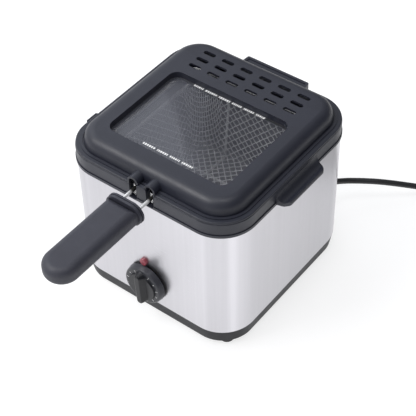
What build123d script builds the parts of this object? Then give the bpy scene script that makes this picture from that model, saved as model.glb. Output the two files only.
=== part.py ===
from build123d import *
from math import cos, pi, radians, sin, tan
import os

os.makedirs("parts", exist_ok=True)

# A small square deep fryer: steel wall, plastic base, collar and lid, wire basket.
# Millimetres. The origin is on the floor under the middle of the housing, +Z is up,
# the knob and the basket handle are at the front (-Y) and +X is to the right.
# An outline is (width along X, depth along Y, corner radius).

# Heights, from the floor up
foot_height = 4.0
base_bottom = 4.0
base_top = 21.0
lip_bottom = 157.0
lip_top = 160.0
wall_top = 158.0
collar_top = 173.2
lid_seat = 173.6
flange_top = 175.4
lid_top = 190.0

# Outlines
base_outline = (197.0, 203.0, 34.5)
wall_outline = (203.0, 209.0, 37.5)
lip_outline = (205.6, 211.6, 38.8)
collar_outline = (204.0, 210.0, 38.0)
lid_outline = (203.6, 209.0, 37.8)
dome_outline = (188.0, 193.4, 30.0)
pot_outline = (176.0, 178.0, 30.0)
pot_flange_outline = (190.0, 194.0, 36.0)
front_y = -wall_outline[1] / 2
rear_y = wall_outline[1] / 2

# Wall thicknesses and gaps
sheet = 0.7
base_wall = 3.0
collar_wall = 4.0
lid_wall = 2.4
pot_wall = 1.5
fit_gap = 0.2

# Carry tabs: a long one on the right, a short one near the left front corner,
# and a thick flat one at the rear
handle_reach = 115.0
handle_half_width = 32.0
left_tab_half_width = 10.5
left_tab_y = -45.5
rear_tab_reach = 116.5
rear_tab_half_width = 37.7
rear_tab_top = 171.4
rear_tab_bottom = 162.4

# Corner columns: foot, screw and tie rod share one axis
corner_x = 82.5
corner_y = 85.0
foot_radius = 7.5
screw_radius = 1.5
rod_radius = 2.4

# Basket and its handle
basket_y = 2.0
basket_rim_outline = (147.4, 155.4, 26.7)
basket_top_outline = (143.6, 151.6, 24.8)
basket_floor_outline = (124.0, 132.0, 20.0)
basket_floor_z = 70.0
rim_bottom = 153.3
rim_height = 4.0
wire_x = 10.5
wire_z = 167.5
wire_radius = 1.75
frame_wire_radius = 1.5

# Slots in collar and lid that the handle wires pass through
slot_x = 10.0
slot_width = 8.6
notch_bottom = 158.3
notch_corner = 1.6
slot_crown = 182.0
pillar_top = 177.0

# Window and steam vents in the lid
window_outline = (141.0, 107.5, 10.0)
window_y = -17.25
glass_top = 182.9
glass_thickness = 3.0
vent_pitch_x = 23.0
vent_pitch_y = 12.4
vent_row_y = 64.1

# Control knob, pilot lamp
knob_z = 47.5
knob_radius = 23.0
knob_back = 106.8
shaft_radius = 3.0
lamp_x = -2.8
lamp_z = 74.6
lamp_radius = 4.0
lamp_reach = 3.2

# Mains lead
cord_radius = 3.25
gland = Vector(60, rear_y, 44)
cord_start = Vector(63.5, 131, 36)
coil_centre = (212.0, 196.0)
coil_outer_turn = 39.0
coil_inner_turn = 26.0
plug_axis_z = 12.0


def plate(outline, height, inset=0.0, y=0.0):
    """A rounded-square face at a height, drawn in by an inset on every side."""
    width, depth, radius = outline
    with BuildSketch(Plane.XY.offset(height)) as face:
        with Locations((0, y)):
            RectangleRounded(width - 2 * inset, depth - 2 * inset, radius - inset)
    return face.sketch


def ring(outline, height, inset, wall, y=0.0):
    """A rounded-square ring whose outside is drawn in by an inset."""
    width, depth, radius = outline
    inner = inset + wall
    with BuildSketch(Plane.XY.offset(height)) as face:
        with Locations((0, y)):
            RectangleRounded(width - 2 * inset, depth - 2 * inset, radius - inset)
            RectangleRounded(
                width - 2 * inner, depth - 2 * inner, radius - inner, mode=Mode.SUBTRACT
            )
    return face.sketch


def rod(points, radius, bend):
    """A round wire along straight runs joined by tangent arcs."""
    with BuildPart() as wire:
        with BuildLine() as path:
            FilletPolyline(*points, radius=bend)
        with BuildSketch(Plane(origin=path.line @ 0, z_dir=path.line % 0)):
            Circle(radius)
        sweep()
    return wire.part


def export(builder, name):
    """Label a finished piece and write it."""
    builder.part.label = name
    export_step(builder.part, f"parts/{name}.step")


corner_points = [(x, y) for x in (-corner_x, corner_x) for y in (-corner_y, corner_y)]


# ---- Base ----------------------------------------------------------------------

base_floor_top = base_bottom + 3.0
boss_top = 14.0
upstand_top = base_top + 6.0

with BuildPart() as base_tray:
    loft([plate(base_outline, base_bottom), plate(wall_outline, base_top)])
    fillet(base_tray.edges().group_by(Axis.Z)[0], 2.0)
    loft(
        [
            plate(base_outline, base_floor_top, base_wall),
            plate(wall_outline, base_top, base_wall),
        ],
        mode=Mode.SUBTRACT,
    )
    # Upstand that locates the steel wall from inside
    extrude(ring(wall_outline, base_top - 3, sheet + fit_gap, 2.5), amount=upstand_top - base_top + 3)
    with BuildSketch(Plane.XY.offset(base_bottom + 1)):
        with Locations(*corner_points):
            Circle(5.5)
    extrude(amount=boss_top - base_bottom - 1)
    with BuildSketch(Plane.XY.offset(base_bottom)):
        with Locations(*corner_points):
            Circle(screw_radius + 0.3)
    extrude(amount=boss_top, mode=Mode.SUBTRACT)
    # Cooling slots through the floor
    with BuildSketch(Plane.XY.offset(base_bottom)):
        with GridLocations(16, 60, 5, 2):
            SlotOverall(36, 4, rotation=90)
    extrude(amount=5, mode=Mode.SUBTRACT)
export(base_tray, "base_tray")

with BuildPart() as feet:
    with BuildSketch():
        with Locations(*corner_points):
            Circle(foot_radius)
    extrude(amount=foot_height)
    chamfer(feet.edges().group_by(Axis.Z)[0], 0.8)
    with BuildSketch():
        with Locations(*corner_points):
            Circle(3.7)
    extrude(amount=2.2, mode=Mode.SUBTRACT)
    with BuildSketch():
        with Locations(*corner_points):
            Circle(screw_radius + 0.3)
    extrude(amount=foot_height, mode=Mode.SUBTRACT)
export(feet, "feet")

screw_end = boss_top + 8.0
with BuildPart() as foot_screws:
    with BuildSketch(Plane.XY.offset(0.8)):
        with Locations(*corner_points):
            Circle(3.2)
    extrude(amount=1.4)
    with BuildSketch(Plane.XY.offset(2.2)):
        with Locations(*corner_points):
            Circle(screw_radius)
    extrude(amount=screw_end - 2.2)
export(foot_screws, "foot_screws")

ledge_bottom = 149.0
rod_top = 147.0
with BuildPart() as tie_rods:
    with BuildSketch(Plane.XY.offset(boss_top)):
        with Locations(*corner_points):
            Circle(rod_radius)
    extrude(amount=rod_top - boss_top)
    with BuildSketch(Plane.XY.offset(boss_top)):
        with Locations(*corner_points):
            Circle(screw_radius)
    extrude(amount=screw_end + 1 - boss_top, mode=Mode.SUBTRACT)
export(tie_rods, "tie_rods")


# ---- Steel wall ----------------------------------------------------------------

seam_y = 84.6
seam_gap = 0.6
bush_radius = 4.5
lamp_stem = 3.3
gland_neck = 6.4


def wall_strip(bottom, top, inset, wall, y_from, y_to):
    """The part of a wall ring that lies between two planes across Y."""
    with BuildPart() as strip:
        extrude(ring(wall_outline, bottom, inset, wall), amount=top - bottom)
        with Locations((0, (y_from + y_to) / 2, bottom)):
            Box(
                220, y_to - y_from, top - bottom,
                align=(Align.CENTER, Align.CENTER, Align.MIN), mode=Mode.INTERSECT,
            )
    return strip.part


with BuildPart() as front_wrap:
    add(wall_strip(base_top, wall_top, 0, sheet, front_y - 1, seam_y - seam_gap / 2))
    with BuildSketch(Plane.XZ.offset(-front_y - 3)):
        with Locations((0, knob_z)):
            Circle(bush_radius + fit_gap)
        with Locations((lamp_x, lamp_z)):
            Circle(lamp_stem + 0.1)
    extrude(amount=6, mode=Mode.SUBTRACT)
export(front_wrap, "front_wrap")

joggle = sheet + 0.05
joggle_bottom = upstand_top + 1
joggle_top = ledge_bottom - 1
with BuildPart() as rear_panel:
    add(wall_strip(base_top, wall_top, 0, sheet, seam_y + seam_gap / 2, rear_y + 1))
    # Joggled flange that lies behind the front wrap along both seams
    add(wall_strip(joggle_bottom, joggle_top, 0.3, joggle + 0.3, seam_y + seam_gap / 2, seam_y + 5))
    add(wall_strip(joggle_bottom, joggle_top, joggle, 0.6, seam_y - 8, seam_y + 5))
    with BuildSketch(Plane.XZ.offset(-rear_y - 3)):
        with Locations((gland.X, gland.Z)):
            Circle(gland_neck + 0.1)
    extrude(amount=6, mode=Mode.SUBTRACT)
export(rear_panel, "rear_panel")


# ---- Collar with carry handles -------------------------------------------------


def carry_tab(root, reach, half_width):
    """A handle tab that stands out along +X, with a hollow along its top."""
    with BuildPart() as tab:
        with BuildSketch(Plane.XZ):
            with BuildLine():
                Line((root, 157.4), (root, 171.0))
                Spline(
                    (root, 171.0), (root + 2.7, 164.6), (reach - 6.2, 162.0),
                    (reach - 3.4, 162.2), tangents=[(0.1, -1), (1, 0.25)],
                )
                Spline(
                    (reach - 3.4, 162.2), (reach - 1.3, 162.9), (reach, 160.6),
                    (reach - 1.6, 158.0), tangents=[(1, 0.25), (-1, -0.35)],
                )
                Line((reach - 1.6, 158.0), (root, 157.4))
            make_face()
        extrude(amount=half_width + 4, both=True)
        with BuildSketch(Plane.XY.offset(150)):
            with BuildLine():
                FilletPolyline(
                    (root - 1, -half_width - 2), (reach - 5, -half_width),
                    (reach, -half_width + 5), (reach, half_width - 5),
                    (reach - 5, half_width), (root - 1, half_width + 2),
                    radius=4.0,
                )
                Line((root - 1, half_width + 2), (root - 1, -half_width - 2))
            make_face()
        extrude(amount=30, mode=Mode.INTERSECT)
    return tab.part


tab_root = collar_outline[0] / 2 - 0.15
right_tab = carry_tab(tab_root, handle_reach, handle_half_width)
left_tab = carry_tab(tab_root, handle_reach, left_tab_half_width)

rear_tab_root = collar_outline[1] / 2 - 0.15
with BuildPart() as rear_tab:
    with BuildSketch(Plane.XY.offset(rear_tab_bottom)):
        with BuildLine():
            FilletPolyline(
                (-rear_tab_half_width - 1, rear_tab_root), (-rear_tab_half_width, rear_tab_reach),
                (rear_tab_half_width, rear_tab_reach), (rear_tab_half_width + 1, rear_tab_root),
                radius=2.0,
            )
            Line((rear_tab_half_width + 1, rear_tab_root), (-rear_tab_half_width - 1, rear_tab_root))
        make_face()
    extrude(amount=rear_tab_top - rear_tab_bottom)
    # Shallow step that leaves a low lip along the outer edge
    with BuildSketch(Plane.XY.offset(rear_tab_top)):
        with Locations((0, (rear_tab_root + rear_tab_reach - 3.0) / 2)):
            Rectangle(2 * rear_tab_half_width - 5.0, rear_tab_reach - 3.0 - rear_tab_root)
    extrude(amount=-0.9, mode=Mode.SUBTRACT)

with BuildPart() as whole_collar:
    extrude(ring(wall_outline, ledge_bottom, sheet + fit_gap, 2.6), amount=wall_top + 1 - ledge_bottom)
    # Ledge that carries the pot
    extrude(ring(wall_outline, ledge_bottom, sheet + fit_gap, 10.6), amount=3.0)
    # Lip outside the steel and the main band above it
    extrude(ring(lip_outline, lip_bottom, 0, 1.1), amount=lip_top - lip_bottom)
    extrude(ring(collar_outline, wall_top + 0.1, 0, collar_wall), amount=collar_top - wall_top - 0.1)
    extrude(ring(lip_outline, wall_top + 0.1, 0, 3.0), amount=lip_top - wall_top - 0.1)
    fillet(whole_collar.edges().group_by(Axis.Z)[-1], 0.7)
    add(right_tab)
    add(left_tab.mirror(Plane.YZ).translate((0, left_tab_y, 0)))
    add(rear_tab.part)
    # Shadow line between lip and band
    with BuildSketch(Plane.XY.offset(lip_top)):
        add(ring(lip_outline, 0, 0, 1.7))
        with Locations((handle_reach, 0)):
            Rectangle(40, 2 * (handle_half_width + 2.4), mode=Mode.SUBTRACT)
        with Locations((-handle_reach, left_tab_y)):
            Rectangle(40, 2 * (left_tab_half_width + 2.4), mode=Mode.SUBTRACT)
    extrude(amount=0.6, mode=Mode.SUBTRACT)
    # Bosses for the tie rods, blind from below
    with BuildSketch(Plane.XY.offset(139)):
        with Locations(*corner_points):
            Circle(4.4)
    extrude(amount=ledge_bottom + 1 - 139)
    with BuildSketch(Plane.XY.offset(139)):
        with Locations(*corner_points):
            Circle(rod_radius)
    extrude(amount=rod_top - 139, mode=Mode.SUBTRACT)
    # Pillar between the two wire notches
    with BuildSketch(Plane.XZ.offset(101.4)):
        with Locations((0, (notch_bottom + pillar_top) / 2)):
            RectangleRounded(slot_x * 2 - slot_width, pillar_top - notch_bottom, 3.0)
    extrude(amount=3.6)
    for x in (-slot_x, slot_x):
        with BuildSketch(Plane.XZ.offset(98)):
            with Locations((x, notch_bottom + 10)):
                RectangleRounded(slot_width, 20, notch_corner)
        extrude(amount=10, mode=Mode.SUBTRACT)

# The stretch of collar under and between the notches is a moulding of its own
# It is cut out by a block that takes in the collar's whole front section
sill_block = (2 * (slot_x + slot_width / 2 - notch_corner), 60.0, 120.0)
sill_location = Location((0, -collar_outline[1] / 2, collar_top))
with BuildPart() as notch_sill:
    add(whole_collar.part)
    with Locations(sill_location):
        Box(*sill_block, mode=Mode.INTERSECT)
export(notch_sill, "notch_sill")

with BuildPart() as collar:
    add(whole_collar.part)
    with Locations(sill_location):
        Box(*sill_block, mode=Mode.SUBTRACT)
export(collar, "collar")


# ---- Pot, heating and insulation -----------------------------------------------

pot_floor = 60.5
gasket_bottom = ledge_bottom + 3.0
pot_flange_bottom = gasket_bottom + 0.8

with BuildPart() as inner_pot:
    extrude(plate(pot_outline, pot_floor), amount=pot_flange_bottom + 1.2 - pot_floor)
    fillet(inner_pot.edges().group_by(Axis.Z)[0], 10.0)
    offset(amount=-pot_wall, openings=inner_pot.faces().sort_by(Axis.Z)[-1])
    extrude(ring(pot_flange_outline, pot_flange_bottom, 0, 8.0), amount=1.2)
export(inner_pot, "inner_pot")

with BuildPart() as pot_gasket:
    extrude(ring(pot_flange_outline, gasket_bottom, 0, 4.5), amount=0.8)
export(pot_gasket, "pot_gasket")

with BuildPart() as heat_spreader:
    with BuildSketch(Plane.XY.offset(pot_floor - 2.1)):
        Circle(68)
    extrude(amount=2.0)
export(heat_spreader, "heat_spreader")

element_turn = 55.0
element_radius = 3.25
element_z = pot_floor - 2.2 - element_radius
element_gap = 15.0
element_end_x = element_turn * sin(radians(element_gap))
element_end_y = element_turn * cos(radians(element_gap))
element_end_z = 34.0

with BuildPart() as heating_element:
    with BuildSketch(Plane.XZ.rotated((0, 0, 90 + element_gap))):
        with Locations((element_turn, element_z)):
            Circle(element_radius)
    revolve(axis=Axis.Z, revolution_arc=360 - 2 * element_gap)
    with BuildSketch(Plane.XY.offset(element_end_z)):
        with Locations((-element_end_x, element_end_y), (element_end_x, element_end_y)):
            Circle(2.6)
    extrude(amount=element_z - element_end_z)
export(heating_element, "heating_element")

shield_z = 40.0
post_xy = 60.0
with BuildPart() as heat_shield:
    extrude(plate((150.0, 156.0, 18.0), shield_z), amount=0.8)
    with BuildSketch(Plane.XY.offset(shield_z)):
        with Locations((-element_end_x, element_end_y), (element_end_x, element_end_y)):
            Circle(5)
    extrude(amount=0.8, mode=Mode.SUBTRACT)
export(heat_shield, "heat_shield")

with BuildPart() as shield_posts:
    with BuildSketch(Plane.XY.offset(base_floor_top)):
        with GridLocations(2 * post_xy, 2 * post_xy, 2, 2):
            Circle(2.5)
    extrude(amount=shield_z - base_floor_top)
export(shield_posts, "shield_posts")

thermostat_back = 84.0
bulb_z = pot_floor - 2.2 - 2.0
with BuildPart() as sensor_capillary:
    with BuildSketch(Plane.XZ.offset(38)):
        with Locations((0, bulb_z)):
            Circle(1.95)
    extrude(amount=-60)
    add(rod([(0, -37.5, bulb_z), (0, -46, bulb_z), (0, -52, 47), (0, -thermostat_back, 47)], 0.7, 2.5))
export(sensor_capillary, "sensor_capillary")

with BuildPart() as thermal_cutout:
    with Locations((30, 18, pot_floor - 2.15)):
        Box(18, 8, 6, align=(Align.CENTER, Align.CENTER, Align.MAX))
    fillet(thermal_cutout.edges().filter_by(Axis.Z), 1.5)
export(thermal_cutout, "thermal_cutout")


# ---- Thermostat, pilot lamp and knob -------------------------------------------

thermostat_front = 98.0
shaft_end = 118.0
nut_face = -front_y + 1.7

with BuildPart() as thermostat_body:
    with Locations((0, -thermostat_front, knob_z)):
        Box(
            32, thermostat_front - thermostat_back, 23,
            align=(Align.CENTER, Align.MIN, Align.CENTER),
        )
    fillet(thermostat_body.edges().filter_by(Axis.Y), 2.0)
    with BuildSketch(Plane.XZ.offset(thermostat_front)):
        with Locations((0, knob_z)):
            Circle(bush_radius)
    extrude(amount=nut_face - thermostat_front)
    with BuildSketch(Plane.XZ.offset(thermostat_front - 6)):
        with Locations((0, knob_z)):
            Circle(shaft_radius + 0.08)
    extrude(amount=nut_face - thermostat_front + 6, mode=Mode.SUBTRACT)
export(thermostat_body, "thermostat_body")

with BuildPart() as thermostat_nut:
    with BuildSketch(Plane.XZ.offset(-front_y)):
        with Locations((0, knob_z)):
            RegularPolygon(7.0, 6)
            Circle(bush_radius + 0.05, mode=Mode.SUBTRACT)
    extrude(amount=1.6)
export(thermostat_nut, "thermostat_nut")

with BuildPart() as thermostat_shaft:
    with BuildSketch(Plane.XZ.offset(thermostat_front - 5)):
        with Locations((0, knob_z)):
            Circle(shaft_radius)
    extrude(amount=shaft_end - thermostat_front + 5)
export(thermostat_shaft, "thermostat_shaft")

blade_angle = 93.0
blade_top = knob_back + 14.2
with BuildPart() as control_knob:
    with BuildSketch(Plane.XZ.offset(knob_back)):
        with Locations((0, knob_z)):
            Circle(knob_radius)
    extrude(amount=7.0, taper=9)
    fillet(control_knob.edges().sort_by(Axis.Y)[0], 2.2)
    with BuildSketch(Plane.XZ.offset(knob_back + 6.5)):
        with Locations((0, knob_z)):
            Circle(16.5)
    extrude(amount=2.6, taper=12)
    # Blade that the fingers turn, narrowing to its ridge
    with BuildSketch(Plane.XZ.offset(knob_back + 3)):
        with Locations((0, knob_z)):
            SlotOverall(41.0, 21.0, rotation=blade_angle)
    with BuildSketch(Plane.XZ.offset(blade_top)):
        with Locations((0, knob_z)):
            SlotOverall(38.0, 6.0, rotation=blade_angle)
    loft()
    fillet(control_knob.edges().group_by(Axis.Y)[0], 1.4)
    with BuildSketch(Plane.XZ.offset(knob_back)):
        with Locations((0, knob_z)):
            Circle(shaft_radius)
    extrude(amount=shaft_end - knob_back, mode=Mode.SUBTRACT)
export(control_knob, "control_knob")

with BuildPart() as lamp_lens:
    with BuildSketch(Plane.XZ.offset(-front_y - 1.4)):
        with Locations((lamp_x, lamp_z)):
            Circle(lamp_stem)
    extrude(amount=1.4)
    with BuildSketch(Plane.XZ.offset(-front_y)):
        with Locations((lamp_x, lamp_z)):
            Circle(lamp_radius)
    extrude(amount=lamp_reach)
    fillet(lamp_lens.edges().sort_by(Axis.Y)[0], 0.8)
export(lamp_lens, "lamp_lens")

with BuildPart() as lamp_clip:
    with BuildSketch(Plane.XZ.offset(-front_y - sheet - 0.7)):
        with Locations((lamp_x, lamp_z)):
            Circle(6.5)
            Circle(lamp_stem, mode=Mode.SUBTRACT)
    extrude(amount=0.7)
export(lamp_clip, "lamp_clip")

with BuildPart() as pilot_lamp:
    with BuildSketch(Plane.XZ.offset(90.6)):
        with Locations((lamp_x, lamp_z)):
            Circle(4.2)
    extrude(amount=-front_y - 1.5 - 90.6)
export(pilot_lamp, "pilot_lamp")


# ---- Wiring --------------------------------------------------------------------

block_x = 40.0
block_y = 85.0
block_top = 20.0
core_pitch = 7.0
with BuildPart() as terminal_block:
    with Locations((block_x, block_y, base_floor_top)):
        Box(26, 14, block_top - base_floor_top, align=(Align.CENTER, Align.CENTER, Align.MIN))
    with BuildSketch(Plane.XY.offset(block_top)):
        with Locations((block_x, block_y - 3.5)):
            with GridLocations(core_pitch, 1, 3, 1):
                Circle(2.1)
    extrude(amount=-6, mode=Mode.SUBTRACT)
export(terminal_block, "terminal_block")

with BuildPart() as terminal_screws:
    with BuildSketch(Plane.XY.offset(block_top)):
        with Locations((block_x, block_y - 3.5)):
            with GridLocations(core_pitch, 1, 3, 1):
                Circle(2.0)
    extrude(amount=-5)
export(terminal_screws, "terminal_screws")

for index, core in enumerate(("core_live", "core_neutral", "core_earth")):
    start_z = gland.Z + 3.2 * (1 - index)
    end_x = block_x + core_pitch * (index - 1)
    with BuildPart() as lead_core:
        route = [
            (gland.X, 100.8, start_z), (gland.X, 93, start_z),
            (end_x, 88.5, 34), (end_x, 88.5, block_top + 0.1),
        ]
        add(rod(route, 1.3, 3.0))
    export(lead_core, core)

wire_run_z = 22.0
with BuildPart() as wire_thermostat:
    route = [
        (block_x + core_pitch, block_y - 7.1, 14), (block_x + core_pitch, 66, 14),
        (47, 40, wire_run_z), (47, -60, wire_run_z), (8, -91, 20), (8, -91, knob_z - 11.6),
    ]
    add(rod(route, 1.3, 5.0))
export(wire_thermostat, "wire_thermostat")

with BuildPart() as wire_element:
    route = [
        (-8, -91, knob_z - 11.6), (-8, -91, 20), (-30, -60, wire_run_z), (-30, 36, wire_run_z),
        (-element_end_x, element_end_y, 22), (-element_end_x, element_end_y, element_end_z - 0.1),
    ]
    add(rod(route, 1.3, 5.0))
export(wire_element, "wire_element")

with BuildPart() as wire_neutral:
    route = [
        (block_x, block_y - 7.1, 14), (block_x, 70, 14), (22, 62, 18),
        (element_end_x, element_end_y, 22), (element_end_x, element_end_y, element_end_z - 0.1),
    ]
    add(rod(route, 1.3, 3.0))
export(wire_neutral, "wire_neutral")


# ---- Mains lead ----------------------------------------------------------------

relief_axis = cord_start - gland
with BuildPart() as strain_relief:
    with BuildSketch(Plane.XZ.offset(-rear_y + sheet + 2)):
        with Locations((gland.X, gland.Z)):
            Circle(gland_neck)
    extrude(amount=-sheet - 2)
    with BuildSketch(Plane.XZ.offset(-rear_y)):
        with Locations((gland.X, gland.Z)):
            Circle(9.0)
    extrude(amount=-2.4)
    with Locations(Plane(origin=gland, z_dir=relief_axis)):
        Cone(6.0, 4.3, relief_axis.length, align=(Align.CENTER, Align.CENTER, Align.MIN))
    split(bisect_by=Plane.XZ.offset(-rear_y + sheet + 2), keep=Keep.BOTTOM)
export(strain_relief, "strain_relief")

# The lead leaves the relief, comes down behind the housing and runs out to its coil
cord_route = [
    cord_start, Vector(69, 146, 29.5), Vector(82, 160, 26), Vector(100, 174, 24),
    Vector(124, 196, 15), Vector(150, 218, 5.5), Vector(178, 234.2, cord_radius + 0.05),
    Vector(200, coil_centre[1] + coil_outer_turn, cord_radius + 0.05),
]


def bend_radii(points):
    """The largest tangent arc at each corner: 0.45 of the shorter run over tan(turn / 2)."""
    radii = []
    for before, corner, after in zip(points, points[1:], points[2:]):
        run_in, run_out = corner - before, after - corner
        shorter = min(run_in.length, run_out.length)
        radii.append(0.45 * shorter / tan(radians(run_in.get_angle(run_out) / 2)))
    return radii


cord_radii = bend_radii(cord_route)
print("cord arc radii", [round(radius, 1) for radius in cord_radii])
with BuildPart() as power_cord:
    with BuildLine() as cord_path:
        FilletPolyline(*cord_route, radius=cord_radii)
    with BuildSketch(Plane(origin=cord_path.line @ 0, z_dir=cord_path.line % 0)):
        Circle(cord_radius)
    sweep()
cord_length = cord_path.wire().length
print("cord length", round(cord_length, 1), "volume", round(power_cord.part.volume, 1))
print("section times length", round(pi * cord_radius**2 * cord_length, 1))
export(power_cord, "power_cord")

coil_height = 4 * cord_radius + 0.6
with BuildPart() as cord_coil:
    with BuildSketch():
        with Locations(coil_centre):
            Circle(coil_outer_turn + cord_radius + 0.3)
            Circle(coil_inner_turn - cord_radius - 0.3, mode=Mode.SUBTRACT)
    extrude(amount=coil_height)
export(cord_coil, "cord_coil")

tie_width = 9.0
tie_middle = coil_centre[0] - (coil_outer_turn + coil_inner_turn) / 2
with BuildPart() as cord_tie:
    with BuildSketch(Plane.XZ.offset(-coil_centre[1] - tie_width / 2)):
        with Locations((tie_middle, coil_height / 2 + 0.5)):
            RectangleRounded(23.0, coil_height + 1.0, 3.2)
            RectangleRounded(20.6, coil_height - 1.2, 2.0, mode=Mode.SUBTRACT)
    extrude(amount=tie_width)
export(cord_tie, "cord_tie")

plug_x = coil_centre[0] + coil_outer_turn
tail_z = 3 * cord_radius + 0.5
sleeve_end = 160.0
body_back = 138.0
body_front = 106.0
tail_route = [
    Vector(plug_x, 188, tail_z),
    Vector(plug_x, 176, tail_z),
    Vector(plug_x, sleeve_end, plug_axis_z),
]
tail_radii = bend_radii(tail_route)
print("tail arc radii", [round(radius, 1) for radius in tail_radii])
with BuildPart() as cord_tail:
    add(rod(tail_route, cord_radius, tail_radii))
export(cord_tail, "cord_tail")

with BuildPart() as plug_body:
    with BuildSketch(Plane.XZ.offset(-body_front)):
        with Locations((plug_x, plug_axis_z)):
            RectangleRounded(27, 23.6, 8)
    extrude(amount=body_front - body_back)
    fillet(plug_body.edges().group_by(Axis.Y)[-1], 4.0)
    with BuildSketch(Plane.XZ.offset(-body_back + 2)):
        with Locations((plug_x, plug_axis_z)):
            Circle(6.5)
    with BuildSketch(Plane.XZ.offset(-sleeve_end)):
        with Locations((plug_x, plug_axis_z)):
            Circle(4.4)
    loft()
export(plug_body, "plug_body")

with BuildPart() as plug_pins:
    with BuildSketch(Plane.XZ.offset(-body_front)):
        with Locations((plug_x - 6.35, plug_axis_z + 3), (plug_x + 6.35, plug_axis_z + 3)):
            Rectangle(1.5, 6.4)
    extrude(amount=16)
    with BuildSketch(Plane.XZ.offset(-body_front)):
        with Locations((plug_x, plug_axis_z - 6)):
            Circle(2.4)
    extrude(amount=18.5)
export(plug_pins, "plug_pins")


# ---- Lid -----------------------------------------------------------------------

dome_taper = 12.0
dome_fillet = 11.0
arch_radius = slot_width / 2
arch_z = slot_crown - arch_radius
hood_wall = 2.0
hood_front = 104.9
hood_back = 86.0

cavity_bottom = lid_seat - 1
with BuildPart() as dome_cavity:
    extrude(
        plate(dome_outline, cavity_bottom, lid_wall),
        amount=lid_top - lid_wall - cavity_bottom,
        taper=dome_taper,
    )
    fillet(dome_cavity.edges().group_by(Axis.Z)[-1], dome_fillet - lid_wall)

with BuildPart() as lid_shell:
    extrude(plate(lid_outline, lid_seat), amount=flange_top - lid_seat)
    fillet(lid_shell.edges().group_by(Axis.Z)[-1], 1.1)
    extrude(plate(dome_outline, lid_seat + 0.3), amount=lid_top - lid_seat - 0.3, taper=dome_taper)
    fillet(lid_shell.edges().group_by(Axis.Z)[-1], dome_fillet)
    # Bead round the foot of the dome
    extrude(ring(lid_outline, flange_top - 0.2, 4.6, 2.4), amount=1.0)
    # Two arched hoods over the handle wires
    for x in (-slot_x, slot_x):
        with BuildSketch(Plane.XZ.offset(hood_back)):
            with Locations((x, arch_z)):
                Circle(arch_radius + hood_wall)
            with Locations((x, (arch_z + lid_seat) / 2)):
                Rectangle(slot_width + 2 * hood_wall, arch_z - lid_seat)
        extrude(amount=hood_front - hood_back)
    # Trim the hoods level with the underside of the flange
    with BuildSketch(Plane.XY.offset(lid_seat)):
        with Locations((0, -96)):
            Rectangle(60, 24)
    extrude(amount=-6, mode=Mode.SUBTRACT)
    add(dome_cavity.part, mode=Mode.SUBTRACT)
    # Skirt that locates the lid inside the collar
    extrude(ring(collar_outline, 162.0, collar_wall + 0.4, 2.0), amount=lid_seat + 0.5 - 162.0)
    # Window frame wall and screw bosses under the roof
    extrude(plate(window_outline, 183.5, -5.0, window_y), amount=lid_top - lid_wall + 0.5 - 183.5)
    with BuildSketch(Plane.XY.offset(glass_top - glass_thickness)):
        with Locations((0, window_y)):
            with GridLocations(158, 42, 2, 3):
                Circle(3.2)
    extrude(amount=lid_top - 1 - glass_top + glass_thickness)
    with BuildSketch(Plane.XY.offset(glass_top - glass_thickness)):
        with Locations((0, window_y)):
            with GridLocations(158, 42, 2, 3):
                Circle(1.2)
    extrude(amount=5.6, mode=Mode.SUBTRACT)
    extrude(plate(window_outline, 180, 0, window_y), amount=12, mode=Mode.SUBTRACT)
    # Steam vents
    with BuildSketch(Plane.XY.offset(lid_top + 1)):
        with Locations((0, vent_row_y)):
            with GridLocations(vent_pitch_x, vent_pitch_y, 6, 3):
                SlotOverall(14.5, 5.0)
    extrude(amount=-6, mode=Mode.SUBTRACT)
    # Passage for each wire, open downwards
    for x in (-slot_x, slot_x):
        with BuildSketch(Plane.XZ.offset(80)):
            with Locations((x, arch_z)):
                Circle(arch_radius)
            with Locations((x, (arch_z + 160) / 2)):
                Rectangle(slot_width, arch_z - 160)
        extrude(amount=30, mode=Mode.SUBTRACT)
    # Pocket over the collar's pillar
    with BuildSketch(Plane.XZ.offset(101.0)):
        with Locations((0, 171)):
            RectangleRounded(slot_x * 2 - slot_width + 0.6, 14, 3.0)
    extrude(amount=6, mode=Mode.SUBTRACT)
    # Scoop between the hoods
    with BuildSketch(Plane.XZ.offset(95.6)):
        with Locations((0, 181.2)):
            RectangleRounded(7.4, 9.0, 3.4)
    extrude(amount=12, mode=Mode.SUBTRACT)
export(lid_shell, "lid_shell")

with BuildPart() as window_gasket:
    extrude(ring(window_outline, glass_top, -4.0, 4.0, window_y), amount=0.6)
export(window_gasket, "window_gasket")

with BuildPart() as window_glass:
    extrude(plate(window_outline, glass_top - glass_thickness, -4.0, window_y), amount=glass_thickness)
export(window_glass, "window_glass")

retainer_top = glass_top - glass_thickness
with BuildPart() as window_retainer:
    extrude(ring(window_outline, retainer_top - 1.0, -12.5, 12.5, window_y), amount=1.0)
    with BuildSketch(Plane.XY.offset(retainer_top - 1.0)):
        with Locations((0, window_y)):
            with GridLocations(158, 42, 2, 3):
                Circle(1.5)
    extrude(amount=1.0, mode=Mode.SUBTRACT)
export(window_retainer, "window_retainer")

with BuildPart() as retainer_screws:
    with BuildSketch(Plane.XY.offset(retainer_top - 2.2)):
        with Locations((0, window_y)):
            with GridLocations(158, 42, 2, 3):
                Circle(2.4)
    extrude(amount=1.2)
    with BuildSketch(Plane.XY.offset(retainer_top - 1.2)):
        with Locations((0, window_y)):
            with GridLocations(158, 42, 2, 3):
                Circle(1.15)
    extrude(amount=6.0)
export(retainer_screws, "retainer_screws")


# ---- Basket --------------------------------------------------------------------

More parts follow.
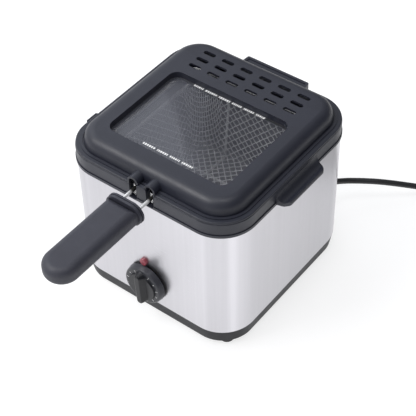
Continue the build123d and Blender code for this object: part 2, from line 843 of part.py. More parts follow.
mesh_thickness = 0.8
with BuildPart() as basket_mesh:
    loft(
        [
            plate(basket_floor_outline, basket_floor_z, 0, basket_y),
            plate(basket_top_outline, rim_bottom - 0.1, 0, basket_y),
        ]
    )
    loft(
        [
            plate(basket_floor_outline, basket_floor_z + mesh_thickness, mesh_thickness, basket_y),
            plate(basket_top_outline, rim_bottom - 0.1, mesh_thickness, basket_y),
        ],
        mode=Mode.SUBTRACT,
    )
export(basket_mesh, "basket_mesh")

with BuildPart() as basket_rim:
    extrude(ring(basket_rim_outline, rim_bottom, 0, 3.8, basket_y), amount=rim_height)
    fillet(basket_rim.edges().filter_by(GeomType.LINE).filter_by(Axis.Z, reverse=True)
           + basket_rim.edges().filter_by(GeomType.CIRCLE), 1.8)
export(basket_rim, "basket_rim")

# Two frame wires run across the basket and two, under them, run along it
foot_half_x = basket_floor_outline[0] / 2 + 2.2
foot_half_y = basket_floor_outline[1] / 2 + 2.4
top_half_x = basket_top_outline[0] / 2 + 2.0
top_half_y = basket_top_outline[1] / 2 + 2.2
across_z = basket_floor_z - 1.75
frame_top = rim_bottom - 0.3
along_z = across_z - 2 * frame_wire_radius - 0.15
with BuildPart() as basket_frame_wires:
    for y in (basket_y - 32, basket_y + 32):
        route = [
            (-top_half_x, y, frame_top), (-foot_half_x, y, across_z),
            (foot_half_x, y, across_z), (top_half_x, y, frame_top),
        ]
        add(rod(route, frame_wire_radius, 3.5))
    for x in (-35, 35):
        route = [
            (x, basket_y - top_half_y, frame_top), (x, basket_y - foot_half_y, along_z),
            (x, basket_y + foot_half_y, along_z), (x, basket_y + top_half_y, frame_top),
        ]
        add(rod(route, frame_wire_radius, 3.5))
export(basket_frame_wires, "basket_frame_wires")

wire_drop_y = basket_y - basket_rim_outline[1] / 2 - wire_radius - 0.75
with BuildPart() as handle_bracket:
    with BuildSketch(Plane.XZ.offset(75.3)):
        with Locations((0, 141)):
            RectangleRounded(32, 23, 3)
    extrude(amount=1.0)
export(handle_bracket, "handle_bracket")

guard_front = 125.5
guard_rim = 2.1
guard_groove = 0.8
guard_back = guard_front + 5.6
grip_half_width = 18.25
grip_height = 20.0
grip_end = 232.0
nose_y = grip_half_width - grip_end
clamp_y = -142.0
wire_end_y = -150.0
with BuildPart() as handle_wires:
    for x in (-wire_x, wire_x):
        route = [(x, wire_drop_y, 131), (x, wire_drop_y, wire_z), (x, wire_end_y, wire_z)]
        add(rod(route, wire_radius, 8.0))
export(handle_wires, "handle_wires")

with BuildPart() as handle_grip:
    with BuildSketch(Plane.XY.offset(wire_z - grip_height / 2)):
        with BuildLine():
            Polyline(
                (grip_half_width, nose_y), (grip_half_width, 1 - guard_back),
                (-grip_half_width, 1 - guard_back), (-grip_half_width, nose_y),
            )
            ThreePointArc((-grip_half_width, nose_y), (0, -grip_end), (grip_half_width, nose_y))
        make_face()
    extrude(amount=grip_height)
    fillet(handle_grip.edges().group_by(Axis.Z)[0] + handle_grip.edges().group_by(Axis.Z)[-1], 8.0)
    # Finger guard: two rims with a groove between them
    with BuildSketch(Plane.XZ.offset(guard_front)):
        with Locations((0, wire_z)):
            RectangleRounded(41.5, 24.6, 12)
    extrude(amount=guard_rim)
    with BuildSketch(Plane.XZ.offset(guard_front + guard_rim)):
        with Locations((0, wire_z)):
            RectangleRounded(39.4, 22.6, 11)
    extrude(amount=guard_groove)
    with BuildSketch(Plane.XZ.offset(guard_front + guard_rim + guard_groove)):
        with Locations((0, wire_z)):
            RectangleRounded(40.8, 24.0, 11.8)
    extrude(amount=guard_back - guard_front - guard_rim - guard_groove)
    # Sockets for the wire ends and the screw that clamps them
    with BuildSketch(Plane.XZ.offset(guard_front)):
        with Locations((-wire_x, wire_z), (wire_x, wire_z)):
            Circle(wire_radius)
    extrude(amount=-wire_end_y - guard_front, mode=Mode.SUBTRACT)
    with BuildSketch(Plane.XY.offset(wire_z - grip_height / 2)):
        with Locations((0, clamp_y)):
            Circle(3.4)
    extrude(amount=4.0, mode=Mode.SUBTRACT)
    with BuildSketch(Plane.XY.offset(wire_z - grip_height / 2)):
        with Locations((0, clamp_y)):
            Circle(1.5)
    extrude(amount=13.0, mode=Mode.SUBTRACT)
export(handle_grip, "handle_grip")

with BuildPart() as handle_screw:
    with BuildSketch(Plane.XY.offset(wire_z - grip_height / 2 + 1.6)):
        with Locations((0, clamp_y)):
            Circle(3.1)
    extrude(amount=2.4)
    with BuildSketch(Plane.XY.offset(wire_z - grip_height / 2 + 4.0)):
        with Locations((0, clamp_y)):
            Circle(1.45)
    extrude(amount=8.5)
export(handle_screw, "handle_screw")
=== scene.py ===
"""A small square deep fryer on a pale floor: materials, woven basket, mains lead and print
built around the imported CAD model. Metres, in the model's own frame."""

import random
from math import ceil, cos, hypot, pi, radians, sin

import bpy
from mathutils import Matrix, Vector


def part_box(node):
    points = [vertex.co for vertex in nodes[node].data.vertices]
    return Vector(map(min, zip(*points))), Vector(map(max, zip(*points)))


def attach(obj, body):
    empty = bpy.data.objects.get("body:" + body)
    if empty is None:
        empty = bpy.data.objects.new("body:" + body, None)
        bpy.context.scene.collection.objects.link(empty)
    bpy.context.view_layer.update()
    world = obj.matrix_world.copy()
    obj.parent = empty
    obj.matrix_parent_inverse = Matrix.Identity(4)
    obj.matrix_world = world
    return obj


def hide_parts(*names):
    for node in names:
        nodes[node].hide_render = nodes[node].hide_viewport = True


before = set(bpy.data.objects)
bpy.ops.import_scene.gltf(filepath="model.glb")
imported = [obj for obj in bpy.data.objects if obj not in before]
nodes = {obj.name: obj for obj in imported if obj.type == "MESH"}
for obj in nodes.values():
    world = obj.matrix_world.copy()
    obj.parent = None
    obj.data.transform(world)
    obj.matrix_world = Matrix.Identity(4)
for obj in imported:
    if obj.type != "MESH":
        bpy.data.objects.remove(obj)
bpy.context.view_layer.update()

scene = bpy.context.scene
MM = 0.001
SKY_DARK = 0.16
SKY_BRIGHT = 0.85


# ---- Camera, floor and light ---------------------------------------------------


def add_camera():
    azimuth, elevation, roll = radians(38.25), radians(45.23), radians(-1.43)
    distance, target = 1.3218, Vector((-0.0296, 0.0318, 0.0212))
    back = Vector((sin(azimuth) * cos(elevation), -cos(azimuth) * cos(elevation), sin(elevation)))
    right = Vector((cos(azimuth), sin(azimuth), 0))
    up = back.cross(right)
    axes = Matrix((right * cos(roll) + up * sin(roll), up * cos(roll) - right * sin(roll), back))
    camera = bpy.data.objects.new("camera", bpy.data.cameras.new("camera"))
    camera.data.sensor_width = 36.0
    camera.data.lens = 105.7
    camera.matrix_world = Matrix.Translation(target + back * distance) @ axes.transposed().to_4x4()
    scene.collection.objects.link(camera)
    scene.camera = camera


def add_light(name, place, target, size, power, colour=(1, 1, 1)):
    data = bpy.data.lights.new(name, "AREA")
    data.shape = "RECTANGLE"
    data.size, data.size_y = size
    data.energy = power
    data.color = colour
    lamp = bpy.data.objects.new(name, data)
    direction = Vector(target) - Vector(place)
    lamp.matrix_world = Matrix.Translation(place) @ direction.to_track_quat("-Z", "Y").to_matrix().to_4x4()
    scene.collection.objects.link(lamp)
    return lamp


def add_sky():
    """A soft white room, brighter to the front left than to the rear right."""
    world = bpy.data.worlds.new("studio")
    scene.world = world
    world.use_nodes = True
    tree = world.node_tree
    place = tree.nodes.new("ShaderNodeTexCoord")
    toward = node(tree, "ShaderNodeVectorMath", operation="DOT_PRODUCT")
    toward.inputs[1].default_value = Vector((-0.75, -0.5, 0.43))
    tree.links.new(place.outputs["Generated"], toward.inputs[0])
    background = tree.nodes["Background"]
    background.inputs["Color"].default_value = (0.96, 0.975, 1.0, 1)
    strength = ramp(tree, toward.outputs["Value"], -0.5, 0.95, SKY_DARK, SKY_BRIGHT)
    tree.links.new(strength, background.inputs["Strength"])


def add_stage(weave):
    """The floor and the lamps, one of which only picks out the wires and the pot under the window."""
    mesh = bpy.data.meshes.new("floor")
    half = 6.0
    corners = [(-half, -half, 0), (half, -half, 0), (half, half, 0), (-half, half, 0)]
    mesh.from_pydata(corners, [], [(0, 1, 2, 3)])
    ground = bpy.data.objects.new("floor", mesh)
    scene.collection.objects.link(ground)
    pale = finish("pale_floor", (0.36, 0.36, 0.365), 0.9, mottle=(3.0, 0.01), grain=(400, 0.02),
                  Emission_Color=(1, 1, 1, 1), Emission_Strength=0.74)
    mesh.materials.append(pale)
    glint = add_light("rim_glint", (-0.72, 0.93, 1.34), (0, 0, 0.16), (0.5, 0.5), 6)
    lit = bpy.data.collections.new("glint_lit")
    shading = bpy.data.collections.new("glint_shading")
    for piece in (weave, nodes["basket_rim"], nodes["inner_pot"]):
        lit.objects.link(piece)
    shading.objects.link(ground)
    glint.light_linking.receiver_collection = lit
    glint.light_linking.blocker_collection = shading
    add_light("key", (-1.5, -1.55, 2.6), (0, 0, 0.1), (1.5, 1.5), 50, (1.0, 0.99, 0.98))
    add_light("overhead", (0.25, -0.1, 2.3), (0, 0, 0.1), (0.8, 0.8), 9, (0.97, 0.98, 1.0))
    add_light("rear_softbox", (-1.42, 0.45, 1.3), (0, 0, 0.18), (1.6, 1.6), 7.5, (0.86, 0.91, 1.0))


# ---- Materials -----------------------------------------------------------------

PLASTIC = (0.0148, 0.0165, 0.0275)
STEEL = (0.592, 0.585, 0.614)
# Painted light on the steel towards its right side, and painted shade towards its rear
STEEL_PAINTED_LIGHT_TO_THE_RIGHT = 1.12
STEEL_PAINTED_SHADE_TO_THE_REAR = 0.9
CORNER_RADIUS = 37.5 * MM
# How far round a corner each upright band of painted reflection lies, and how bright it is
PAINTED_REFLECTION_BANDS = ((0.1, 1.03), (0.17, 0.94), (0.47, 0.95), (0.56, 1.12), (0.63, 1.1), (0.7, 1.0))


def node(tree, kind, **values):
    """A shader node with the given sockets and properties set."""
    made = tree.nodes.new(kind)
    for key, value in values.items():
        if key in made.inputs:
            made.inputs[key].default_value = value
        else:
            setattr(made, key, value)
    return made


def object_space(tree, stretch=(1, 1, 1)):
    """Object coordinates, in metres, stretched along the axes."""
    place = tree.nodes.new("ShaderNodeTexCoord")
    mapping = node(tree, "ShaderNodeMapping", Scale=stretch)
    tree.links.new(place.outputs["Object"], mapping.inputs["Vector"])
    return mapping.outputs["Vector"]


def coordinate(tree, axis):
    """One object coordinate, in metres."""
    place = tree.nodes.new("ShaderNodeTexCoord")
    parts = tree.nodes.new("ShaderNodeSeparateXYZ")
    tree.links.new(place.outputs["Object"], parts.inputs[0])
    return parts.outputs[axis]


def calculate(tree, operation, first, second):
    """A maths node between two numbers or sockets. The second is None for a one-input operation."""
    made = node(tree, "ShaderNodeMath", operation=operation)
    for socket, value in zip(made.inputs, (first, second)):
        if isinstance(value, bpy.types.NodeSocket):
            tree.links.new(value, socket)
        elif value is not None:
            socket.default_value = value
    return made.outputs[0]


def noise(tree, scale, detail=3.0, stretch=(1, 1, 1), roughness=0.5):
    """Noise in object space, about 0 to 1."""
    texture = node(tree, "ShaderNodeTexNoise", Scale=scale, Detail=detail, Roughness=roughness)
    tree.links.new(object_space(tree, stretch), texture.inputs["Vector"])
    return texture.outputs["Fac"]


def ramp(tree, value, low, high, out_low, out_high):
    """Maps a value's range low..high to out_low..out_high."""
    span = node(tree, "ShaderNodeMapRange")
    for index, number in enumerate((low, high, out_low, out_high), 1):
        span.inputs[index].default_value = number
    tree.links.new(value, span.inputs[0])
    return span.outputs[0]


def blend_colours(tree, factor, first, second):
    """The first colour at factor 0 and the second at 1. Either may be a socket."""
    mix = node(tree, "ShaderNodeMix", data_type="RGBA")
    for socket, colour in ((mix.inputs[6], first), (mix.inputs[7], second)):
        if isinstance(colour, bpy.types.NodeSocket):
            tree.links.new(colour, socket)
        else:
            socket.default_value = (*colour, 1)
    tree.links.new(factor, mix.inputs[0])
    return mix.outputs[2]


def finish(name, colour, roughness, metallic=0.0, mottle=(30, 0.06), grain=None, wear=0.0, **sockets):
    """A procedural finish. mottle is (scale, share) of slow colour drift, grain is (scale,
    strength) of fine bump, wear is how much paler the convex edges are."""
    material = bpy.data.materials.new(name)
    material.use_nodes = True
    tree = material.node_tree
    shader = tree.nodes["Principled BSDF"]
    shader.inputs["Metallic"].default_value = metallic
    for key, value in sockets.items():
        shader.inputs[key.replace("_", " ")].default_value = value
    scale, share = mottle
    drift = noise(tree, scale, 4.0)
    darker = tuple(c * (1 - share) for c in colour)
    paler = tuple(min(1.0, c * (1 + share)) for c in colour)
    tint = blend_colours(tree, ramp(tree, drift, 0.3, 0.7, 0, 1), darker, paler)
    if wear:
        geometry = tree.nodes.new("ShaderNodeNewGeometry")
        edge = ramp(tree, geometry.outputs["Pointiness"], 0.52, 0.6, 0, wear)
        tint = blend_colours(tree, edge, tint, tuple(min(1, c * 2.2 + 0.02) for c in colour))
    tree.links.new(tint, shader.inputs["Base Color"])
    spread = ramp(tree, noise(tree, scale * 2.3, 3.0), 0.3, 0.7, roughness * 0.92, roughness * 1.08)
    tree.links.new(spread, shader.inputs["Roughness"])
    if grain:
        grain_scale, strength = grain
        bump = node(tree, "ShaderNodeBump", Strength=strength, Distance=0.0006)
        tree.links.new(noise(tree, grain_scale, 2.0), bump.inputs["Height"])
        tree.links.new(bump.outputs["Normal"], shader.inputs["Normal"])
    return material


def corner_angle(tree):
    """How far round a corner of the housing a point is: 0 on the front and rear, 1 on the sides."""
    low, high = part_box("front_wrap")
    turned = []
    for axis, far in (("X", high.x), ("Y", -low.y)):
        size = calculate(tree, "ABSOLUTE", coordinate(tree, axis), None)
        beyond = calculate(tree, "SUBTRACT", size, far - CORNER_RADIUS)
        turned.append(calculate(tree, "MAXIMUM", beyond, 0.0))
    return ramp(tree, calculate(tree, "ARCTAN2", *turned), 0, pi / 2, 0, 1)


def satin_steel():
    """Satin sheet steel: a very fine level brush, soft upright bands of painted reflection round the
    corners, painted light towards the right and painted shade towards the rear.
    """
    material = finish("satin_steel", STEEL, 0.3, 1.0, mottle=(6, 0.02))
    tree = material.node_tree
    shader = tree.nodes["Principled BSDF"]
    level_brush, sheet_drift, upright_streak = (30, 30, 7000), (7, 7, 0.8), (330, 330, 5)
    brush = noise(tree, 1.0, 2.0, level_brush)
    tree.links.new(ramp(tree, brush, 0.25, 0.75, 0.27, 0.34), shader.inputs["Roughness"])
    drift = ramp(tree, noise(tree, 1.0, 2.0, sheet_drift), 0.35, 0.65, 0.975, 1.02)
    streaks = ramp(tree, noise(tree, 1.0, 3.0, upright_streak, 0.6), 0.3, 0.7, 0.982, 1.018)
    # Painted reflection: the base colour gets brighter and darker in upright bands, by how far round a
    # corner a point lies.
    bands = tree.nodes.new("ShaderNodeValToRGB")
    tree.links.new(corner_angle(tree), bands.inputs[0])
    steps = bands.color_ramp.elements
    steps[0].position, steps[1].position = 0.0, 1.0
    steps[0].color, steps[1].color = (1, 1, 1, 1), (0.9, 0.9, 0.9, 1)
    for position, share in PAINTED_REFLECTION_BANDS:
        steps.new(position).color = (share, share, share, 1)
    share = calculate(tree, "MULTIPLY", calculate(tree, "MULTIPLY", drift, streaks), bands.outputs[0])
    # Painted light: the steel's colour brightens towards the right. Painted shade: it darkens towards the
    # rear.
    across = ramp(tree, coordinate(tree, "X"), 0, 60 * MM, 1.0, STEEL_PAINTED_LIGHT_TO_THE_RIGHT)
    back = ramp(tree, coordinate(tree, "Y"), -60 * MM, 70 * MM, 1.0, STEEL_PAINTED_SHADE_TO_THE_REAR)
    share = calculate(tree, "MULTIPLY", share, calculate(tree, "MULTIPLY", across, back))
    shaded = node(tree, "ShaderNodeVectorMath", operation="SCALE")
    shaded.inputs[0].default_value = STEEL
    tree.links.new(share, shaded.inputs["Scale"])
    tree.links.new(shaded.outputs[0], shader.inputs["Base Color"])
    bump = node(tree, "ShaderNodeBump", Strength=0.04, Distance=0.0002)
    tree.links.new(brush, bump.inputs["Height"])
    tree.links.new(bump.outputs["Normal"], shader.inputs["Normal"])
    return material


def knob_black():
    """Shiny black moulding, with the skirt behind its grip painted paler as painted sheen."""
    material = finish("knob_black", (0.0075, 0.008, 0.011), 0.3, mottle=(60, 0.2), grain=(1200, 0.05),
                      Specular_IOR_Level=0.35)
    tree = material.node_tree
    shader = tree.nodes["Principled BSDF"]
    clean = shader.inputs["Base Color"].links[0].from_socket
    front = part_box("control_knob")[0].y
    skirt = ramp(tree, coordinate(tree, "Y"), front + 6 * MM, front + 8 * MM, 0, 1)
    # Painted sheen: the skirt gets a paler colour in place of its reflections.
    skirt_painted_sheen = (0.043, 0.044, 0.053)
    tree.links.new(blend_colours(tree, skirt, clean, skirt_painted_sheen), shader.inputs["Base Color"])
    return material


def handle_wire():
    """Bright wire, with painted shade where it runs inside the fryer."""
    material = finish("handle_wire", (0.95, 0.95, 0.96), 0.22, 0.4, mottle=(90, 0.03), grain=(1500, 0.03))
    tree = material.node_tree
    shader = tree.nodes["Principled BSDF"]
    bright = shader.inputs["Base Color"].links[0].from_socket
    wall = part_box("collar")[0].y
    inside = ramp(tree, coordinate(tree, "Y"), wall - 3.5 * MM, wall - 0.5 * MM, 0, 1)
    # Painted shade: the wire is made dark where it runs in under the lid.
    wire_painted_shade = (0.05, 0.048, 0.045)
    tree.links.new(blend_colours(tree, inside, bright, wire_painted_shade), shader.inputs["Base Color"])
    return material


def window_pane():
    """Clear window glass, with a grey haze of painted reflection on it that is heavy to the left and thins
    out to the right.
    """
    material = finish("window_glass", (0.12, 0.125, 0.15), 0.05, mottle=(18, 0.04), IOR=1.5)
    tree = material.node_tree
    shader = tree.nodes["Principled BSDF"]
    place = tree.nodes.new("ShaderNodeTexCoord")
    toward = node(tree, "ShaderNodeVectorMath", operation="DOT_PRODUCT")
    rear_right = Vector((0.785, 0.62, 0))
    toward.inputs[1].default_value = rear_right
    tree.links.new(place.outputs["Object"], toward.inputs[0])
    # Painted reflection: a grey haze over the glass, heavy to the front left, standing in for glare.
    painted_glare_heavy, painted_glare_light = 0.55, 0.18
    across = ramp(tree, toward.outputs["Value"], -36 * MM, 2 * MM, painted_glare_heavy, painted_glare_light)
    cloud = ramp(tree, noise(tree, 22, 4.0), 0.3, 0.75, 0.94, 1.06)
    tree.links.new(calculate(tree, "MULTIPLY", across, cloud), shader.inputs["Alpha"])
    return material


def pot_metal():
    """Dull pot inside, with its turned-out flange left bright."""
    material = finish("pot_coat", (0.1, 0.1, 0.115), 0.4, 0.25, mottle=(90, 0.08), grain=(1400, 0.12))
    tree = material.node_tree
    shader = tree.nodes["Principled BSDF"]
    coat = shader.inputs["Base Color"].links[0].from_socket
    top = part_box("inner_pot")[1].z
    bare = ramp(tree, coordinate(tree, "Z"), top - 2.5 * MM, top - 2 * MM, 0, 1)
    bare_metal = (0.9, 0.9, 0.91)
    tree.links.new(blend_colours(tree, bare, coat, bare_metal), shader.inputs["Base Color"])
    return material


materials = {}


def dress_frame():
    """Makes every finish and puts it on the CAD nodes it belongs to."""
    plastic = finish("charcoal_plastic", PLASTIC, 0.42, mottle=(40, 0.05), grain=(1900, 0.16), wear=0.12)
    # The base tray's plastic is the charcoal plastic painted darker, as painted shade.
    base_plastic_painted_shade = finish("base_plastic_painted_shade", (0.006, 0.0065, 0.011), 0.5, mottle=(40, 0.05), grain=(1900, 0.16),
                          Specular_IOR_Level=0.35)
    lid_plastic = finish("lid_plastic", PLASTIC, 0.42, mottle=(40, 0.05), grain=(1900, 0.16), wear=0.12)
    grip_plastic = finish("grip_plastic", (0.033, 0.034, 0.048), 0.52, mottle=(50, 0.07), grain=(2200, 0.2),
                          wear=0.08)
    rubber = finish("black_rubber", (0.018, 0.018, 0.02), 0.62, mottle=(80, 0.12), grain=(2500, 0.2))
    silicone = finish("grey_silicone", (0.05, 0.05, 0.055), 0.5, mottle=(80, 0.1), grain=(1500, 0.1))
    zinc = finish("zinc_plate", (0.55, 0.56, 0.58), 0.36, 1.0, mottle=(120, 0.08), grain=(1800, 0.06))
    aluminium = finish("bare_aluminium", (0.78, 0.78, 0.8), 0.3, 1.0, mottle=(60, 0.04), grain=(1200, 0.08))
    pot = pot_metal()
    element = finish("heat_tinted_steel", (0.3, 0.26, 0.23), 0.4, 1.0, mottle=(50, 0.2), grain=(900, 0.1))
    wire = finish("bright_wire", (0.95, 0.95, 0.96), 0.24, 0.3, mottle=(90, 0.03), grain=(1500, 0.03))
    mesh_wire = finish("mesh_wire", (0.95, 0.95, 0.97), 0.32, 0.2, mottle=(90, 0.03), grain=(1500, 0.03))
    red = finish("red_lens", (0.27, 0.05, 0.07), 0.3, mottle=(200, 0.1), grain=(600, 0.03), Coat_Weight=0.2)
    white = finish("lamp_white", (0.75, 0.74, 0.7), 0.4, mottle=(100, 0.04), grain=(900, 0.04))
    ceramic = finish("steatite", (0.8, 0.78, 0.72), 0.5, mottle=(100, 0.06), grain=(1100, 0.1))
    phenolic = finish("phenolic", (0.03, 0.02, 0.016), 0.3, mottle=(100, 0.2), grain=(1000, 0.06))
    brass = finish("brass", (0.72, 0.52, 0.24), 0.25, 1.0, mottle=(150, 0.06), grain=(1500, 0.04))
    jacket = finish("cord_jacket", (0.016, 0.016, 0.018), 0.42, mottle=(90, 0.15), grain=(1800, 0.12))
    brown = finish("core_brown", (0.14, 0.05, 0.02), 0.4, mottle=(90, 0.1), grain=(1500, 0.08))
    blue = finish("core_blue", (0.02, 0.08, 0.3), 0.4, mottle=(90, 0.1), grain=(1500, 0.08))
    green = finish("core_green", (0.12, 0.34, 0.05), 0.4, mottle=(90, 0.1), grain=(1500, 0.08))
    steel = satin_steel()
    window = window_pane()
    white_print = finish("white_print", (0.92, 0.92, 0.92), 0.5, mottle=(300, 0.04), grain=(2000, 0.05))
    materials.update(print=white_print, mesh_wire=mesh_wire, jacket=jacket)
    chosen = {
        plastic: ("collar", "notch_sill"),
        base_plastic_painted_shade: ("base_tray",),
        lid_plastic: ("lid_shell",),
        grip_plastic: ("handle_grip",),
        knob_black(): ("control_knob",),
        rubber: ("feet",),
        silicone: ("pot_gasket", "window_gasket"),
        zinc: ("foot_screws", "tie_rods", "shield_posts", "sensor_capillary", "thermostat_nut", "lamp_clip",
               "window_retainer", "retainer_screws", "handle_screw"),
        aluminium: ("heat_spreader", "heat_shield"),
        pot: ("inner_pot",),
        element: ("heating_element",),
        wire: ("basket_rim", "basket_frame_wires", "handle_bracket"),
        handle_wire(): ("handle_wires",),
        mesh_wire: ("basket_mesh",),
        red: ("lamp_lens",),
        white: ("pilot_lamp",),
        ceramic: ("thermal_cutout", "terminal_block"),
        phenolic: ("thermostat_body",),
        brass: ("terminal_screws", "plug_pins", "thermostat_shaft"),
        jacket: ("strain_relief", "power_cord", "cord_coil", "cord_tail", "cord_tie", "plug_body"),
        brown: ("core_live", "wire_thermostat", "wire_element"),
        blue: ("core_neutral", "wire_neutral"),
        green: ("core_earth",),
        steel: ("front_wrap", "rear_panel"),
        window: ("window_glass",),
    }
    for material, names in chosen.items():
        for name in names:
            nodes[name].data.materials.clear()
            nodes[name].data.materials.append(material)


# ---- Mains lead ----------------------------------------------------------------

CORD_RADIUS = 3.25 * MM
CORD_START = Vector((63.5, 131, 36)) * MM
COIL_CENTRE = Vector((212, 196, 0)) * MM
OUTER_TURN = 39 * MM
INNER_TURN = 26 * MM


def coil_points():
    """Two turns that close in on the floor, then two and a quarter on top that open out."""
    per_turn, closing, opening = 16, 2.0, 2.25
    count = round((closing + opening) * per_turn)
    first_layer = CORD_RADIUS + 0.9 * MM
    points = []
    for step in range(1, count + 1):
        turns = step / per_turn
        if turns <= closing:
            radius = OUTER_TURN - (OUTER_TURN - INNER_TURN) * turns / closing
            height = first_layer
        else:
            radius = INNER_TURN + (OUTER_TURN - INNER_TURN) * (turns - closing) / opening
            height = first_layer + 2 * CORD_RADIUS * min(1, (turns - closing) * 4)
        angle = pi / 2 - 2 * pi * turns
        points.append(COIL_CENTRE + Vector((radius * cos(angle), radius * sin(angle), height)))
    return points


def add_cord():
    """The mains lead: out at the back, down to the floor, into its coil and out again to the plug."""
    floor_z = 3.3
    lay_out = [
        (69, 146, 29.5), (82, 160, 26), (100, 174, 24), (124, 196, 15), (150, 218, 5.5),
        (178, 234.2, floor_z), (200, 235.6, floor_z + 0.4),
    ]
    tail = [(251, 184, 10.4), (251, 172, 10.6), (251, 159.5, 12)]
    points = [CORD_START] + [Vector(p) * MM for p in lay_out]
    points += coil_points() + [Vector(p) * MM for p in tail]
    curve = bpy.data.curves.new("mains_lead", "CURVE")
    curve.dimensions = "3D"
    spline = curve.splines.new("NURBS")
    spline.points.add(len(points) - 1)
    for slot, place in zip(spline.points, points):
        slot.co = (*place, 1)
    spline.order_u = 3
    spline.use_endpoint_u = True
    spline.resolution_u = 6
    curve.bevel_depth = CORD_RADIUS
    curve.bevel_resolution = 5
    curve.use_fill_caps = True
    curve.materials.append(materials["jacket"])
    lead = bpy.data.objects.new("mains_lead", curve)
    scene.collection.objects.link(lead)
    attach(lead, "housing")
    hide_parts("power_cord", "cord_coil", "cord_tail")


# ---- Woven basket --------------------------------------------------------------


def add_mesh(name, vertices, faces, material, body, smooth=True):
    mesh = bpy.data.meshes.new(name)
    mesh.from_pydata([tuple(v) for v in vertices], [], faces)
    mesh.materials.append(material)
    for polygon in mesh.polygons:
        polygon.use_smooth = smooth
    made = bpy.data.objects.new(name, mesh)
    scene.collection.objects.link(made)
    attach(made, body)
    return made


def tube(points, radius, sides, vertices, faces):
    """Adds a round wire along the points to the lists of vertices and faces."""
    start = len(vertices)
    for index, point in enumerate(points):
        ahead = points[min(index + 1, len(points) - 1)] - points[max(index - 1, 0)]
        ahead.normalize()
        across = ahead.cross(Vector((0.31, 0.17, 0.93))).normalized()
        other = ahead.cross(across)
        for side in range(sides):
            angle = 2 * pi * side / sides
            vertices.append(point + radius * (cos(angle) * across + sin(angle) * other))
    for index in range(len(points) - 1):
        for side in range(sides):
            after = (side + 1) % sides
            a = start + index * sides
            faces.append((a + side, a + after, a + sides + after, a + sides + side))
    faces.append(tuple(range(start + sides - 1, start - 1, -1)))
    faces.append(tuple(start + (len(points) - 1) * sides + side for side in range(sides)))


def basket_surface(u, v, low, high, top_half):
    """Where a point of the flat mesh sheet lies once the sheet is pressed into a basket, and
    the way its face points. low and high are the floor's corners, top_half the rim's half size."""
    centre = Vector(((low.x + high.x) / 2, (low.y + high.y) / 2, 0))
    half = Vector(((high.x - low.x) / 2, (high.y - low.y) / 2, 0))
    corner = 20 * MM
    rise = high.z - low.z
    slope = (top_half.x - half.x) / rise
    x, y = abs(u), abs(v)
    beyond_x, beyond_y = x - (half.x - corner), y - (half.y - corner)
    if beyond_x > 0 and beyond_y > 0:
        out = Vector((beyond_x, beyond_y, 0))
        distance = out.length - corner
        out.normalize()
    elif beyond_x - corner >= beyond_y - corner:
        out, distance = Vector((1, 0, 0)), beyond_x - corner
    else:
        out, distance = Vector((0, 1, 0)), beyond_y - corner
    signs = Vector((1 if u >= 0 else -1, 1 if v >= 0 else -1, 1))
    out = Vector((out.x * signs.x, out.y * signs.y, 0))
    if distance <= 0:
        return centre + Vector((u, v, low.z)), Vector((0, 0, 1)), 0.0
    foot = Vector((u, v, 0)) - out * distance
    climb = distance / hypot(1, slope)
    return centre + foot + out * (climb * slope) + Vector((0, 0, low.z + climb)), out, climb / rise


def add_basket_weave():
    """Two families of crossing wires that follow the pressed basket, in place of its plain shell."""
    pitch, radius, step = 6.2 * MM, 0.5 * MM, 1.55 * MM
    crimp = 0.8 * radius
    low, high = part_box("basket_mesh")
    floor_half = Vector((62, 66, 0)) * MM
    middle = (low + high) / 2
    floor_low = Vector((middle.x - floor_half.x, middle.y - floor_half.y, low.z + radius))
    floor_high = Vector((middle.x + floor_half.x, middle.y + floor_half.y, high.z))
    top_half = (high - low) / 2
    reach = 150 * MM
    diagonal = 1.42 * reach
    last = ceil(diagonal / step)
    vertices, faces = [], []
    for family in (1, -1):
        along = Vector((1, family, 0)).normalized()
        side = Vector((-along.y, along.x, 0))
        count = ceil(diagonal / pitch)
        for number in range(-count, count + 1):
            run = []
            for index in range(-last, last + 1):
                flat = side * (number * pitch) + along * (index * step)
                place, face, share = basket_surface(flat.x, flat.y, floor_low, floor_high, top_half)
                inside = abs(flat.x) < reach and abs(flat.y) < reach and share <= 0.995
                if inside:
                    wave = sin(pi * (index * step / pitch + number)) * family
                    run.append(place + face * (crimp * wave))
                if (not inside or index == last) and len(run) > 2:
                    tube(run, radius, 5, vertices, faces)
                if not inside:
                    run = []
    weave = add_mesh("basket_weave", vertices, faces, materials["mesh_wire"], "basket")
    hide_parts("basket_mesh")
    return weave


# ---- Print ---------------------------------------------------------------------


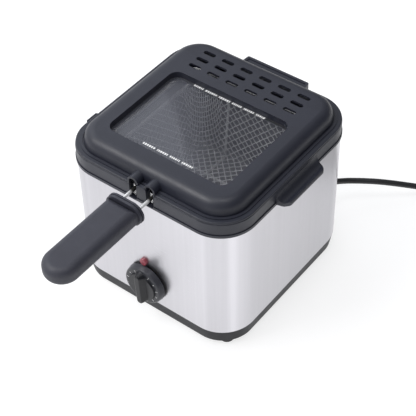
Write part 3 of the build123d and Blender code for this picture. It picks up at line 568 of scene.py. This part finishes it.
def bar(centre, along, across, up, size, vertices, faces):
    """Adds a thin raised bar of the given length, width and thickness."""
    length, width, thickness = size
    start = len(vertices)
    for rise in (0, thickness):
        for a, b in ((-1, -1), (1, -1), (1, 1), (-1, 1)):
            vertices.append(centre + along * (a * length / 2) + across * (b * width / 2) + up * rise)
    for face in ((3, 2, 1, 0), (4, 5, 6, 7), (0, 1, 5, 4), (1, 2, 6, 5), (2, 3, 7, 6), (3, 0, 4, 7)):
        faces.append(tuple(start + corner for corner in face))


def add_glass_print():
    """A row of plain dashes along the front and the rear edge of the window."""
    dice = random.Random(5)
    low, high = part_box("window_glass")
    vertices, faces = [], []
    right, ahead, up = Vector((1, 0, 0)), Vector((0, 1, 0)), Vector((0, 0, 1))
    dashes_a_word, gap, word_gap = 6, 0.8, 2.8
    for start, end, y in ((-32.5, 27.0, low.y / MM + 14), (-45.5, 40.0, high.y / MM - 5.6)):
        x = start
        dash = 0
        while x < end:
            length = dice.uniform(0.9, 1.9)
            centre = Vector((x + length / 2, y, 0)) * MM + up * (high.z + 0.02 * MM)
            bar(centre, right, ahead, up, (length * MM, 2.4 * MM, 0.06 * MM), vertices, faces)
            dash += 1
            x += length + (word_gap if dash % dashes_a_word == 0 else gap)
    add_mesh("window_print", vertices, faces, materials["print"], "lid", smooth=False)


def add_dial_print():
    """Plain tick marks round the knob's skirt, every other one longer."""
    low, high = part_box("control_knob")
    centre = Vector(((low.x + high.x) / 2, 0, (low.z + high.z) / 2))
    skirt_depth = 7.03 * MM
    face = high.y - skirt_depth
    out = Vector((0, -1, 0))
    vertices, faces = [], []
    marks, sweep, mark_radius = 10, 270, 18.1 * MM
    for mark in range(marks + 1):
        angle = radians(-sweep / 2 + sweep * mark / marks)
        radial = Vector((sin(angle), 0, cos(angle)))
        length = (2.0 if mark % 2 else 2.8) * MM
        place = centre + radial * mark_radius + Vector((0, face, 0))
        bar(place, radial, radial.cross(out), out, (length, 0.5 * MM, 0.06 * MM), vertices, faces)
    add_mesh("dial_ticks", vertices, faces, materials["print"], "knob", smooth=False)


scene.view_settings.view_transform = "Standard"
dress_frame()
add_camera()
add_cord()
add_sky()
add_stage(add_basket_weave())
add_glass_print()
add_dial_print()
